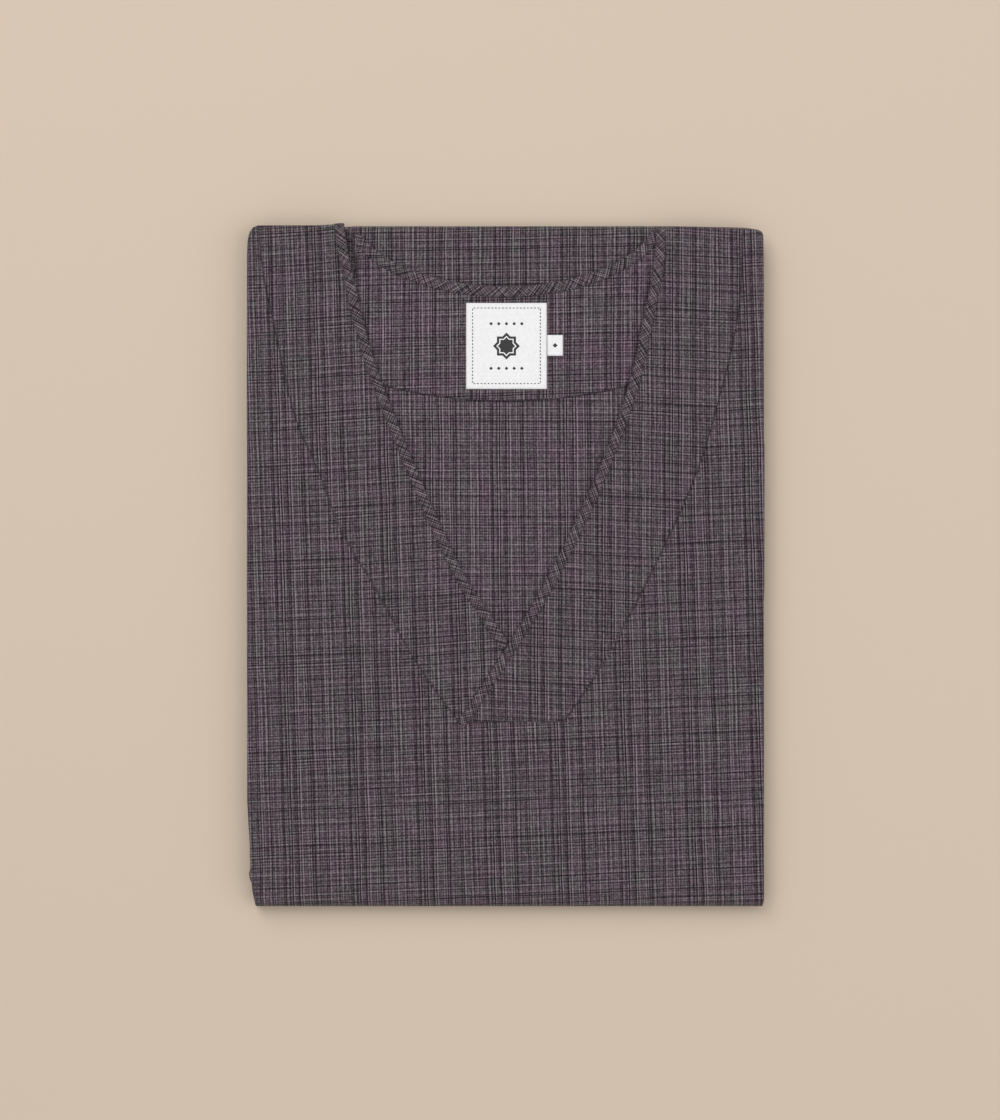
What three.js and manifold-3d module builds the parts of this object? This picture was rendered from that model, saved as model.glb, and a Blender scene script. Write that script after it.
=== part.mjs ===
// A jalabiya folded in thirds for the shelf, lying face up on a flat surface.
// Millimetres, +Z up, +Y towards the neck, origin on the surface under the middle of the folded robe.
// From the surface up it holds the lower third, the hem third folded in between, and the chest third.
import * as THREE from 'three';
import { mergeVertices } from 'three/addons/utils/BufferGeometryUtils.js';
import Module from 'manifold-3d';

const wasm = await Module();
wasm.setup();

// Cloth
const WALL = 1.0; // one layer of cloth with its seam allowances and air
const SEAM = 0.3; // gap between neighbouring pieces
const LAYER = WALL + SEAM;
const BINDING_WIDTH = 6.0;

// Heights above the surface
const SKIRT_TOP = 13.0; // upper side of the hem third
const BACK_BOTTOM = SKIRT_TOP + SEAM;
const BACK_TOP = BACK_BOTTOM + WALL;
const FACING_BOTTOM = BACK_TOP + SEAM;
const FACING_TOP = FACING_BOTTOM + WALL;
const FRONT_LOW_TOP = BACK_TOP + LAYER; // front over the back panel alone
const FRONT_HIGH_TOP = FACING_TOP + LAYER; // front over the back panel and its facing
const RAMP = { from: 20, to: 80 }; // y between which the front climbs onto the facing

// Plan outline of the folded robe: a row for each corner or bend, clockwise from the upper left
const FOLDED_CORNERS = [
  { name: 'left side, below the shoulder', x: -168.2, y: 202, round: 6 },
  { name: 'left shoulder', x: -168.2, y: 221.4, round: 9 },
  { name: 'right shoulder', x: 168.2, y: 219.6, round: 5 },
  { name: 'right side, below the shoulder', x: 168.2, y: 202, round: 6 },
  { name: 'right side, above the lower fold', x: 168.2, y: -203, round: 8 },
  { name: 'right end of the lower fold', x: 168.2, y: -222.4, round: 2.5 },
  { name: 'left end of the lower fold', x: -163, y: -222.4, round: 3 },
  { name: 'tucked-in corner above it', x: -166.2, y: -200, round: 8 },
  { name: 'left side', x: -168.2, y: -160, round: 20 },
];
const HALF_WIDTH = 168.2;
const HALF_LENGTH = 222.4;
const LOWER_FOLD_Y = -HALF_LENGTH;
const SPAN = 34; // longest straight step along the outline
const ARC_STEPS = 4;

// Rolled edges of the chest third: the height at which each side's edge ends
const ROLL = { depth: 6, side: 12.1, shoulder: BACK_BOTTOM, lower: 0 };
const SIDE_TURNS_DOWN = { from: -203, to: -217 }; // y where the side edge goes round the lower fold
const ROLL_ANGLES = [-90, -60, -30, 0, 30, 60, 90];
const TOP_RINGS = [0.08, 0.2, 0.34, 0.5, 0.68, 0.85, 1];

// Hidden layers, from the surface up: top of each folded edge and how far it lies back
const SIDE_LAYERS = [
  { name: 'lower third, outer cloth', top: 2.1, back: 0.7 },
  { name: 'lower third, sleeve and gore', top: 4.0, back: 1.7 },
  { name: 'lower third, inner cloth', top: 5.8, back: 1.0 },
  { name: 'hem third, outer cloth', top: 7.9, back: 1.9 },
  { name: 'hem third, gore', top: 9.9, back: 0.6 },
  { name: 'hem third, inner cloth', top: ROLL.side - SEAM, back: 1.4 },
];
const GROOVE = 1.1;
const GROOVE_ANGLES = [-90, -35, 35, 90];
const CHEST_FILL_BACK = 4.4; // hidden layers inside the chest third's rolled edge
const OVERRUN = 2; // the layered block is cut flat below and above
const CORNER_ROOM = { back: 7.6, xFrom: 120, xTo: 150 }; // keeps them clear of the turned corners
const CORNER_ENDS = [
  { end: 'lower fold', direction: -1, from: 193, to: 203 },
  { end: 'top edge', direction: 1, from: 198, to: 208 },
];

// Skirt stretch of the front, turned at the top edge
const SKIRT = { left: -161, right: 163, edge: 220.3, depth: 6, topFrom: 140, underFrom: 205 };

// Seams and neck edges, from above the shoulder to below the plastron: a row where the line bends
const LEFT_SEAM = [
  { x: -161.5, y: 234 }, { x: -158.2, y: 196 }, { x: -150.7, y: 158 }, { x: -137.5, y: 99 },
  { x: -121.9, y: 62 }, { x: -106.9, y: 23 }, { x: -82.9, y: -18.5 }, { x: -57.5, y: -64 },
  { x: -27, y: -107 },
];
const RIGHT_SEAM = [
  { x: 154.6, y: 234 }, { x: 153.8, y: 196 }, { x: 149.8, y: 155 }, { x: 138.1, y: 106 },
  { x: 122.5, y: 55.6 }, { x: 93.9, y: -6.8 }, { x: 64, y: -62.7 }, { x: 34.5, y: -107 },
];
const NECK_LEFT = [
  { x: -106.3, y: 234 }, { x: -103.6, y: 211 }, { x: -99.1, y: 187.5 }, { x: -88.7, y: 144 },
  { x: -75.7, y: 106.3 }, { x: -56.2, y: 58.2 }, { x: -29.6, y: -1 }, { x: -8.1, y: -34.8 },
  { x: 4.5, y: -56 },
];
const NECK_RIGHT = [
  { x: 98.4, y: 234 }, { x: 96.8, y: 196 }, { x: 91.3, y: 167.4 }, { x: 80.3, y: 117.3 },
  { x: 59.5, y: 59.2 }, { x: 30.9, y: -1 }, { x: 12, y: -34.8 }, { x: -15.3, y: -77.7 },
  { x: -34.5, y: -107 },
];
const CURVE_STEPS = 26;
const PLASTRON_FOOT_Y = -101.5;
const ABOVE_SHOULDER_Y = 234;

// Back neck: an elliptical scoop, and a facing with a sagging lower edge
const SCOOP = { y: 233, halfWidth: 101, depth: 52, steps: 32 };
const BACK = { left: -155, right: 155, foot: -205, shoulder: 216.5 };
const FACING = { half: 125, middleY: 107.3, rise: 9.8, riseAt: 79, steps: 16 };

// Label and size tab on the facing
const LABEL = { x: 0.6, y: 142.6, width: 52.4, height: 56 };
const TAB = { width: 10.2, height: 13.6, y: 143 };

const CLOTH_COLOUR = '#524a4f';
const BACK_COLOUR = '#564d53';
const LABEL_COLOUR = '#f0f0f1';

// Shared helpers

const radians = THREE.MathUtils.degToRad;

function frontTop(y) {
  const climb = THREE.MathUtils.smoothstep(y, RAMP.from, RAMP.to);
  return THREE.MathUtils.lerp(FRONT_LOW_TOP, FRONT_HIGH_TOP, climb);
}

// Stations around the folded outline, counter-clockwise, with rounded corners
function outlineStations() {
  const corners = FOLDED_CORNERS.map((row) => new THREE.Vector2(row.x, row.y)).reverse();
  const rounds = FOLDED_CORNERS.map((row) => row.round).reverse();
  const arcs = corners.map((corner, i) => {
    const before = corners.at(i - 1).clone().sub(corner).setLength(rounds[i]).add(corner);
    const after = corners[(i + 1) % corners.length].clone().sub(corner).setLength(rounds[i]).add(corner);
    return new THREE.QuadraticBezierCurve(before, corner, after);
  });
  return arcs.flatMap((arc, i) => {
    const nextStart = arcs[(i + 1) % arcs.length].v0;
    const side = new THREE.LineCurve(arc.v2, nextStart);
    const steps = Math.max(1, Math.ceil(side.getLength() / SPAN));
    return [...arc.getPoints(ARC_STEPS), ...side.getPoints(steps).slice(1, -1)];
  });
}

const STATIONS = outlineStations();

function insetPoint(station, inset, z) {
  const x = station.x * (1 - inset / HALF_WIDTH);
  const y = station.y * (1 - inset / HALF_LENGTH);
  return new THREE.Vector3(x, y, z);
}

// Closed mesh through rings of equal count; a ring with all points in one place closes an end
function loft(rings, cyclic) {
  const count = rings[0].length;
  const positions = rings.flat().flatMap((point) => point.toArray());
  const faces = [];
  const bands = cyclic ? rings.length : rings.length - 1;
  for (let ring = 0; ring < bands; ring += 1) {
    const next = (ring + 1) % rings.length;
    for (let i = 0; i < count; i += 1) {
      const j = (i + 1) % count;
      const quad = [ring * count + i, ring * count + j, next * count + j, next * count + i];
      faces.push(quad[0], quad[1], quad[2], quad[0], quad[2], quad[3]);
    }
  }
  const geometry = new THREE.BufferGeometry();
  geometry.setAttribute('position', new THREE.Float32BufferAttribute(positions, 3));
  geometry.setIndex(faces);
  return geometry;
}

function solid(geometry) {
  const bare = geometry.clone();
  bare.deleteAttribute('normal');
  bare.deleteAttribute('uv');
  const merged = mergeVertices(bare, 1e-4);
  const corners = merged.index.array;
  const kept = [];
  for (let i = 0; i < corners.length; i += 3) {
    const [a, b, c] = [corners[i], corners[i + 1], corners[i + 2]];
    if (a !== b && b !== c && c !== a) kept.push(a, b, c);
  }
  return new wasm.Manifold(new wasm.Mesh({
    numProp: 3,
    vertProperties: new Float32Array(merged.attributes.position.array),
    triVerts: new Uint32Array(kept),
  }));
}

function piece(name, shape, colour, roughness = 0.92) {
  const mesh = shape.getMesh();
  const geometry = new THREE.BufferGeometry();
  geometry.setAttribute('position', new THREE.BufferAttribute(new Float32Array(mesh.vertProperties), 3));
  geometry.setIndex(new THREE.BufferAttribute(new Uint32Array(mesh.triVerts), 1));
  geometry.computeVertexNormals();
  const material = new THREE.MeshStandardMaterial({ color: colour, roughness, metalness: 0 });
  const object = new THREE.Mesh(geometry, material);
  object.name = name;
  return object;
}

// Upright prism over a plan outline
function prism(points, bottom = -5, top = 30) {
  const extruded = new THREE.ExtrudeGeometry(new THREE.Shape(points), {
    depth: top - bottom, bevelEnabled: false, curveSegments: 1,
  });
  return solid(extruded.translate(0, 0, bottom));
}

// A shape drawn in the y and z plane, run from side to side
function sideToSide(shape, left, right) {
  const extruded = new THREE.ExtrudeGeometry(shape, {
    depth: right - left, bevelEnabled: false, curveSegments: 8,
  });
  const turn = new THREE.Matrix4().makeBasis(
    new THREE.Vector3(0, 1, 0), new THREE.Vector3(0, 0, 1), new THREE.Vector3(1, 0, 0),
  );
  return solid(extruded.applyMatrix4(turn).translate(left, 0, 0));
}

// Points down a seam, moved sideways; positive is to the right
function seamLine(rows, shift = 0) {
  const curve = new THREE.SplineCurve(rows.map((row) => new THREE.Vector2(row.x, row.y)));
  return Array.from({ length: CURVE_STEPS + 1 }, (_, i) => {
    const point = curve.getPoint(i / CURVE_STEPS);
    const along = curve.getTangent(i / CURVE_STEPS);
    return new THREE.Vector2(point.x - along.y * shift, point.y + along.x * shift);
  });
}

// Chest third: one rolled-over surface, from which every piece of the front is cut

function rimHeight(station) {
  if (station.y > BACK.shoulder) return ROLL.shoulder;
  const turned = THREE.MathUtils.smoothstep(-station.y, -SIDE_TURNS_DOWN.from, -SIDE_TURNS_DOWN.to);
  return THREE.MathUtils.lerp(ROLL.side, ROLL.lower, turned);
}

// Rings of the surface that lies `offset` outside the front's outer face
function frontRings(offset) {
  const rolled = ROLL_ANGLES.map(radians).map((angle) => STATIONS.map((station) => {
    const rim = rimHeight(station);
    const halfHeight = (frontTop(station.y) - rim) / 2;
    const depth = Math.min(halfHeight, ROLL.depth);
    const normal = new THREE.Vector2(Math.cos(angle) / depth, Math.sin(angle) / halfHeight).normalize();
    const inset = depth * (1 - Math.cos(angle)) - offset * normal.x;
    return insetPoint(station, inset, rim + halfHeight * (1 + Math.sin(angle)) + offset * normal.y);
  }));
  const flat = TOP_RINGS.map((share) => STATIONS.map((station) => {
    const point = insetPoint(station, ROLL.depth, 0).multiplyScalar(1 - share);
    return point.setZ(frontTop(point.y) + offset);
  }));
  return [...rolled, ...flat];
}

function frontLayer(inner, outer) {
  return solid(loft([...frontRings(outer), ...frontRings(inner).reverse()], true));
}

const FRONT = frontLayer(-WALL, 0);
const ON_FRONT = frontLayer(SEAM, SEAM + WALL);
const THROUGH_FRONT = frontLayer(-WALL, SEAM + WALL);

// Plan regions, closed by the plastron's straight lower seam
function between(leftLine, rightLine, foot = PLASTRON_FOOT_Y) {
  const region = prism([...leftLine, ...rightLine.toReversed()]);
  const below = prism([
    new THREE.Vector2(-HALF_WIDTH, foot), new THREE.Vector2(-HALF_WIDTH, foot - 40),
    new THREE.Vector2(HALF_WIDTH, foot - 40), new THREE.Vector2(HALF_WIDTH, foot),
  ], -6, 31);
  return region.subtract(below);
}

const RIGHT_FRONT_REGION = prism([
  ...seamLine(NECK_RIGHT, -SEAM),
  new THREE.Vector2(HALF_WIDTH, PLASTRON_FOOT_Y - SEAM),
  new THREE.Vector2(HALF_WIDTH, ABOVE_SHOULDER_Y),
]);
const LEFT_FRONT_REGION = prism([
  ...seamLine(NECK_LEFT, SEAM),
  new THREE.Vector2(-HALF_WIDTH, -60),
  new THREE.Vector2(-HALF_WIDTH, ABOVE_SHOULDER_Y),
]);

function frontBody() {
  const opening = between(
    seamLine(LEFT_SEAM, -SEAM / 2), seamLine(RIGHT_SEAM, SEAM / 2), PLASTRON_FOOT_Y - SEAM,
  );
  return piece('front_body', FRONT.subtract(opening), CLOTH_COLOUR);
}

function plastronLeft() {
  const region = between(seamLine(LEFT_SEAM, SEAM / 2), seamLine(NECK_LEFT, -LAYER));
  return piece('plastron_left', FRONT.intersect(region).subtract(RIGHT_FRONT_REGION), CLOTH_COLOUR);
}

function plastronRight() {
  const region = between(seamLine(NECK_RIGHT, LAYER), seamLine(RIGHT_SEAM, -SEAM / 2));
  return piece('plastron_right', FRONT.intersect(region), CLOTH_COLOUR);
}

// A bias strip lies on the neck edge and turns down past it
function bindingLeft() {
  const flange = between(seamLine(NECK_LEFT, -BINDING_WIDTH), seamLine(NECK_LEFT));
  const lip = between(seamLine(NECK_LEFT, -WALL), seamLine(NECK_LEFT));
  const strip = ON_FRONT.intersect(flange).add(THROUGH_FRONT.intersect(lip));
  return piece('neck_binding_left', strip.subtract(RIGHT_FRONT_REGION), CLOTH_COLOUR);
}

function bindingRight() {
  const flange = between(seamLine(NECK_RIGHT), seamLine(NECK_RIGHT, BINDING_WIDTH));
  const lip = between(seamLine(NECK_RIGHT), seamLine(NECK_RIGHT, WALL));
  const strip = ON_FRONT.intersect(flange).add(THROUGH_FRONT.intersect(lip));
  return piece('neck_binding_right', strip, CLOTH_COLOUR);
}

// Back neck

// Points of the scoop from right to left, its ellipse grown outwards by `grow`
function scoopLine(grow) {
  const halfWidth = SCOOP.halfWidth + grow;
  const depth = SCOOP.depth + grow;
  const start = Math.asin((SCOOP.y - BACK.shoulder) / depth);
  return Array.from({ length: SCOOP.steps + 1 }, (_, i) => {
    const angle = THREE.MathUtils.lerp(start, Math.PI - start, i / SCOOP.steps);
    return new THREE.Vector2(halfWidth * Math.cos(angle), SCOOP.y - depth * Math.sin(angle));
  });
}

function backBody() {
  const outline = [
    new THREE.Vector2(BACK.left, BACK.foot), new THREE.Vector2(BACK.right, BACK.foot),
    new THREE.Vector2(BACK.right, BACK.shoulder), ...scoopLine(LAYER),
    new THREE.Vector2(BACK.left, BACK.shoulder),
  ];
  return piece('back_body', prism(outline, BACK_BOTTOM, BACK_TOP), BACK_COLOUR);
}

function backFacing() {
  const lowerEdge = Array.from({ length: FACING.steps + 1 }, (_, i) => {
    const x = THREE.MathUtils.lerp(-FACING.half, FACING.half, i / FACING.steps);
    return new THREE.Vector2(x, FACING.middleY + FACING.rise * (x / FACING.riseAt) ** 2);
  });
  const outline = [
    ...lowerEdge, new THREE.Vector2(FACING.half, BACK.shoulder), ...scoopLine(LAYER),
    new THREE.Vector2(-FACING.half, BACK.shoulder),
  ];
  return piece('back_facing', prism(outline, FACING_BOTTOM, FACING_TOP), BACK_COLOUR);
}

function bindingBack() {
  const innerLine = scoopLine(0).reverse();
  const top = FACING_TOP + LAYER;
  const flange = prism([...scoopLine(BINDING_WIDTH), ...innerLine], FACING_TOP + SEAM, top);
  const lip = prism([...scoopLine(WALL), ...innerLine], BACK_BOTTOM, top);
  const strip = flange.add(lip).subtract(RIGHT_FRONT_REGION).subtract(LEFT_FRONT_REGION);
  return piece('neck_binding_back', strip, CLOTH_COLOUR);
}

// Skirt stretch: one wall turned round the top edge and tucked under

// Section in the y and z plane; `grow` widens it all round to give the room it needs
function skirtSection(grow) {
  const middle = SKIRT_TOP / 2;
  const bend = SKIRT.edge - SKIRT.depth;
  const quarter = Math.PI / 2;
  const shape = new THREE.Shape();
  shape.moveTo(SKIRT.topFrom - grow, SKIRT_TOP + grow);
  shape.lineTo(SKIRT.topFrom - grow, SKIRT_TOP - WALL - grow);
  shape.lineTo(bend, SKIRT_TOP - WALL - grow);
  shape.absellipse(bend, middle, SKIRT.depth - WALL - grow, middle - WALL - grow, quarter, -quarter, true);
  shape.lineTo(SKIRT.underFrom - grow, WALL + grow);
  shape.lineTo(SKIRT.underFrom - grow, -grow);
  shape.lineTo(bend, -grow);
  shape.absellipse(bend, middle, SKIRT.depth + grow, middle + grow, -quarter, quarter, false);
  return shape;
}

function frontSkirtFold() {
  const wall = sideToSide(skirtSection(0), SKIRT.left, SKIRT.right);
  return piece('front_skirt_fold', wall, CLOTH_COLOUR);
}

// Hidden layers: what fills the inside of both end folds, with layered edges at the sides

function insideOfFolds() {
  const lowerBend = LOWER_FOLD_Y + ROLL.depth;
  const lowerMiddle = FRONT_LOW_TOP / 2;
  const lowerDepth = ROLL.depth - LAYER;
  const lowerHalf = lowerMiddle - LAYER;
  const lowerStart = Math.PI - Math.asin((SKIRT_TOP - lowerMiddle) / lowerHalf);
  const skirtBend = SKIRT.edge - SKIRT.depth;
  const skirtMiddle = SKIRT_TOP / 2;
  const shape = new THREE.Shape();
  shape.moveTo(lowerBend + SEAM, 0);
  shape.lineTo(SKIRT.underFrom - SEAM, 0);
  shape.lineTo(SKIRT.underFrom - SEAM, LAYER);
  shape.lineTo(skirtBend, LAYER);
  shape.absellipse(
    skirtBend, skirtMiddle, SKIRT.depth - LAYER, skirtMiddle - LAYER, -Math.PI / 2, Math.PI / 2, false,
  );
  shape.lineTo(SKIRT.topFrom - SEAM, SKIRT_TOP - LAYER);
  shape.lineTo(SKIRT.topFrom - SEAM, SKIRT_TOP);
  shape.absellipse(lowerBend, lowerMiddle, lowerDepth, lowerHalf, lowerStart, 1.5 * Math.PI, false);
  shape.lineTo(lowerBend + SEAM, LAYER);
  return sideToSide(shape, -HALF_WIDTH, HALF_WIDTH);
}

function cornerRoom(station) {
  const endward = Math.max(...CORNER_ENDS.map((row) => (
    THREE.MathUtils.smoothstep(station.y * row.direction, row.from, row.to)
  )));
  const outward = THREE.MathUtils.smoothstep(Math.abs(station.x), CORNER_ROOM.xFrom, CORNER_ROOM.xTo);
  return CORNER_ROOM.back * Math.min(endward, outward);
}

// The edges are layered at the sides and overrun the ends, where the end folds cut them
function layeredBlock() {
  const ring = (inset, z) => STATIONS.map((station) => {
    const room = cornerRoom(station);
    const side = insetPoint(station, inset + room, z);
    return side.setY(insetPoint(station, room - OVERRUN, z).y);
  });
  const centre = (z) => STATIONS.map(() => new THREE.Vector3(0, 0, z));
  const rings = [centre(-OVERRUN), ring(SIDE_LAYERS[0].back + GROOVE, -OVERRUN)];
  let bottom = 0;
  for (const layer of SIDE_LAYERS) {
    const middle = (bottom + layer.top) / 2;
    const halfHeight = (layer.top - bottom) / 2;
    for (const angle of GROOVE_ANGLES.map(radians)) {
      rings.push(ring(layer.back + GROOVE * (1 - Math.cos(angle)), middle + halfHeight * Math.sin(angle)));
    }
    bottom = layer.top;
  }
  const above = SKIRT_TOP + OVERRUN;
  rings.push(ring(CHEST_FILL_BACK, bottom), ring(CHEST_FILL_BACK, above), centre(above));
  return solid(loft(rings, false));
}

function foldedLayers() {
  return piece('folded_layers', layeredBlock().intersect(insideOfFolds()), CLOTH_COLOUR);
}

// Label and size tab, laid on the facing

function patch(name, left, right, bottom, top) {
  const outline = [
    new THREE.Vector2(left, bottom), new THREE.Vector2(right, bottom),
    new THREE.Vector2(right, top), new THREE.Vector2(left, top),
  ];
  return piece(name, prism(outline, FACING_TOP + SEAM, FACING_TOP + LAYER), LABEL_COLOUR, 0.7);
}

function neckLabel() {
  return patch(
    'neck_label', LABEL.x - LABEL.width / 2, LABEL.x + LABEL.width / 2,
    LABEL.y - LABEL.height / 2, LABEL.y + LABEL.height / 2,
  );
}

function sizeTab() {
  const left = LABEL.x + LABEL.width / 2 + SEAM;
  return patch('size_tab', left, left + TAB.width, TAB.y - TAB.height / 2, TAB.y + TAB.height / 2);
}

const jalabiya = new THREE.Group();
jalabiya.add(
  foldedLayers(), frontSkirtFold(),
  backBody(), backFacing(), bindingBack(), neckLabel(), sizeTab(),
  frontBody(), plastronLeft(), plastronRight(), bindingLeft(), bindingRight(),
);

export default jalabiya;
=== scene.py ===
# A jalabiya folded in thirds for the shelf, lying face up, seen from straight above.
# Sizes are in millimetres until a mesh is made. +Y is towards the neck, +Z is up.
import math

import bpy
import numpy as np
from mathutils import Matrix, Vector


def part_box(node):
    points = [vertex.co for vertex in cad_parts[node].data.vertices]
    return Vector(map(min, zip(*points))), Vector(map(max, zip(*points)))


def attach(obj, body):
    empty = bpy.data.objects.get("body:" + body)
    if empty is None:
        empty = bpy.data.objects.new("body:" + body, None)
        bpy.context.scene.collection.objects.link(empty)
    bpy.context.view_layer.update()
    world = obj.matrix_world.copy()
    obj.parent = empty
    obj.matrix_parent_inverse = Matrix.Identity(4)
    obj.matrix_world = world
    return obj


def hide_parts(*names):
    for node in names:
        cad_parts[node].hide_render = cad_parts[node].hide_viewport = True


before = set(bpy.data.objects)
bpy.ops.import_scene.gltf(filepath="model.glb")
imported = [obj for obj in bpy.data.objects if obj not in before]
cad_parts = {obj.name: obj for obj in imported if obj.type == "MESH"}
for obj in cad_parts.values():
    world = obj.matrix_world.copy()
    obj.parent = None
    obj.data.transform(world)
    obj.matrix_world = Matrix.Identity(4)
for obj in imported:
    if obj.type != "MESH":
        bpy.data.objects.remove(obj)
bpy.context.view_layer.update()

MM = 0.001


def node_box(node):
    """Lowest and highest corner of a solid, in millimetres."""
    low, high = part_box(node)
    return np.array(low) / MM, np.array(high) / MM


# Sizes from the frame
FRONT_LOW = node_box("front_body")[0]
SKIRT_LOW, SKIRT_HIGH = node_box("front_skirt_fold")
BACK_LOW, BACK_HIGH = node_box("back_body")
FACING_LOW, FACING_HIGH = node_box("back_facing")
LABEL_LOW, LABEL_HIGH = node_box("neck_label")
TAB_LOW, TAB_HIGH = node_box("size_tab")

HALF_LENGTH = -FRONT_LOW[1]
SKIRT_TOP = SKIRT_HIGH[2]
BACK_TOP = BACK_HIGH[2]
FACING_TOP = FACING_HIGH[2]
LABEL_TOP = LABEL_HIGH[2]

# Cloth and seams
WALL = 1.0
SEAM_GAP = 0.3
LAYER = WALL + SEAM_GAP
CLOTH_THICKNESS = 0.35
LOWEST_CLOTH = 0.06
BINDING_WIDTH = 6.0
UNDER_BINDING = 0.9
FRONT_TOP_LOW = BACK_TOP + LAYER
FRONT_TOP_HIGH = FACING_TOP + LAYER
RAMP_FROM = 20.0
RAMP_TO = 80.0

# Folds
FOLD_DEPTH = 6.0
SIDE_RIM = 12.1
UNDERSIDE_RIM_HALF = 1.05
RIM_CHANGE = 22.0
SHOULDER_RIM = BACK_TOP - WALL
LOWER_FOLD_DEPTH = 9.0
LOWER_BEND_Y = -HALF_LENGTH + LOWER_FOLD_DEPTH
SKIRT_PROUD = 1.3
SKIRT_ROLL = 0.9
UPPER_BEND_Y = SKIRT_HIGH[1] - FOLD_DEPTH + SKIRT_PROUD
UNDERSIDE_SPLIT_Y = 204.9
PATH_FROM_Y = 240
PATH_END_Y = -206
PRESSED_LINE_END = -217.9
TUCK = 9.0
TUCK_CLEARANCE = 0.3

# Plan position of the side edges: rows of (length down the front, x)
LEFT_EDGE = [
    (226, -165.0), (218, -166.3), (211, -167.9), (200, -168.2), (120, -168.3), (60, -168.1),
    (0, -168.3), (-110, -168.1), (-152, -168.1),
    (-168, -167.3), (-184, -166.3), (-197, -166.1), (-201, -167.0), (-204, -166.4),
    (-208, -164.6), (-216, -163.2), (-228, -163.4), (-240, -166.0), (-262, -167.6),
    (-420, -167.2), (-640, -167.4), (-655, -165.0), (-664, -161.2),
]
RIGHT_EDGE = [
    (226, 167.5), (190, 168.0), (84, 168.1), (76, 168.5), (-14, 168.5), (-24, 168.0),
    (-120, 168.2), (-216, 168.2), (-240, 168.0), (-300, 167.2), (-520, 167.7),
    (-640, 167.3), (-655, 165.4), (-664, 162.8),
]
SHOULDER_EDGE = [
    (-168, 221.4), (-120, 221.5), (-107, 222.2), (-100, 221.4), (94, 220.8), (98, 219.2), (106, 219.2),
    (111, 220.6), (128, 220.2), (140, 219.8), (155, 219.3), (162, 218.8), (168, 218.0),
]
# How far the skirt's top edge falls back: the y between which it sets in, and rows of (x, distance)
TOP_FALL_Y = (190, 212)
TOP_FALL = [(-168, 0.3), (-100, 0.0), (108, 0.0), (140, 0.5), (154, 0.8), (160, 1.4), (168, 3.0)]
SHOULDER_ROUND_LEFT = 5.5
SHOULDER_ROUND_RIGHT = 3.4

# Seams and neck edges, from above the shoulder to below the plastron
LEFT_SEAM_LINE = [
    (-161.5, 234), (-158.2, 196), (-150.7, 158), (-137.5, 99), (-121.9, 62), (-106.9, 23),
    (-82.9, -18.5), (-57.5, -64), (-27, -107),
]
RIGHT_SEAM_LINE = [
    (154.6, 234), (153.8, 196), (149.8, 155), (138.1, 106), (122.5, 55.6), (93.9, -6.8),
    (64, -62.7), (34.5, -107),
]
NECK_LEFT_LINE = [
    (-106.3, 234), (-103.6, 211), (-99.1, 187.5), (-88.7, 144), (-75.7, 106.3), (-56.2, 58.2),
    (-29.6, -1), (-8.1, -34.8), (4.5, -56),
]
NECK_RIGHT_LINE = [
    (98.4, 234), (96.8, 196), (91.3, 167.4), (80.3, 117.3), (59.5, 59.2), (30.9, -1),
    (12, -34.8), (-15.3, -77.7), (-34.5, -107),
]
V_POINT_Y = -51.7
PLASTRON_FOOT_Y = -101.5
SHOULDER_TUCK_Y = 228.0

# Back neck
SCOOP_Y = 233.0
SCOOP_HALF = 101.0
SCOOP_DEPTH = 52.0
SCOOP_STEPS = 72
SCOOP_RIGHT_END_Y = 217.0
SHOULDER_NOTCH_Y = 213.5
FACING_HALF = FACING_HIGH[0]
FACING_MIDDLE_Y = FACING_LOW[1]
FACING_RISE = 9.8
FACING_RISE_AT = 79.0
FACING_GROOVE = 1.1
NECK_GROOVE = 1.25
NECK_GROOVE_WIDTH = 1.0

# The left neck edge stands up beside the shoulder, over a narrow gap
LIFTED_NECK = 4.6
LIFTED_NECK_Y = (172, 200)
LIFTED_NECK_WIDTH = 10.0
SHOULDER_GAP_DEPTH = 6.6
SHOULDER_GAP_HALF = 1.9
SHOULDER_GAP_OPENS_Y = (180, 198)
SHOULDER_GAP_NARROWS_Y = (210, 224)

# Camera: the length of floor that it sees, and the point below it
VIEW_LENGTH = 728.0
VIEW_X = -3.6
VIEW_Y = 3.6
LENS = 85.0
SENSOR = 36.0


# Shared helpers

def ease(value, start, end):
    """0 before start, 1 after end, smooth between them."""
    share = np.clip((np.asarray(value, float) - start) / (end - start), 0, 1)
    return share * share * (3 - 2 * share)


def mix(a, b, share):
    return a + (b - a) * share


def along_rows(rows, values):
    """Second column of rows at these values of the first."""
    table = np.array(sorted(rows), float)
    return np.interp(values, table[:, 0], table[:, 1])


def spline(rows, steps=40):
    """Points of a smooth curve through rows, even between each pair."""
    points = np.array(rows, float)
    ends = np.vstack([2 * points[0] - points[1], points, 2 * points[-1] - points[-2]])
    found = []
    for i in range(len(points) - 1):
        a, b, c, d = ends[i:i + 4]
        t = np.linspace(0, 1, steps, endpoint=False)[:, None]
        found.append(0.5 * (2 * b + (c - a) * t + (2 * a - 5 * b + 4 * c - d) * t ** 2
                            + (3 * b - a - 3 * c + d) * t ** 3))
    return np.vstack([*found, points[-1:]])


class Seam:
    """A seam line in plan, given as x for each y, with distances measured across it."""

    def __init__(self, rows):
        self.points = spline(rows)[::-1]
        self.slope = np.gradient(self.points[:, 0], self.points[:, 1])

    def x(self, y, shift=0.0):
        x = np.interp(y, self.points[:, 1], self.points[:, 0])
        slope = np.interp(y, self.points[:, 1], self.slope)
        return x + shift * np.sqrt(1 + slope ** 2)

    def distance(self, x, y):
        """Distance to the right of the seam."""
        slope = np.interp(y, self.points[:, 1], self.slope)
        return (x - self.x(y)) / np.sqrt(1 + slope ** 2)


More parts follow.
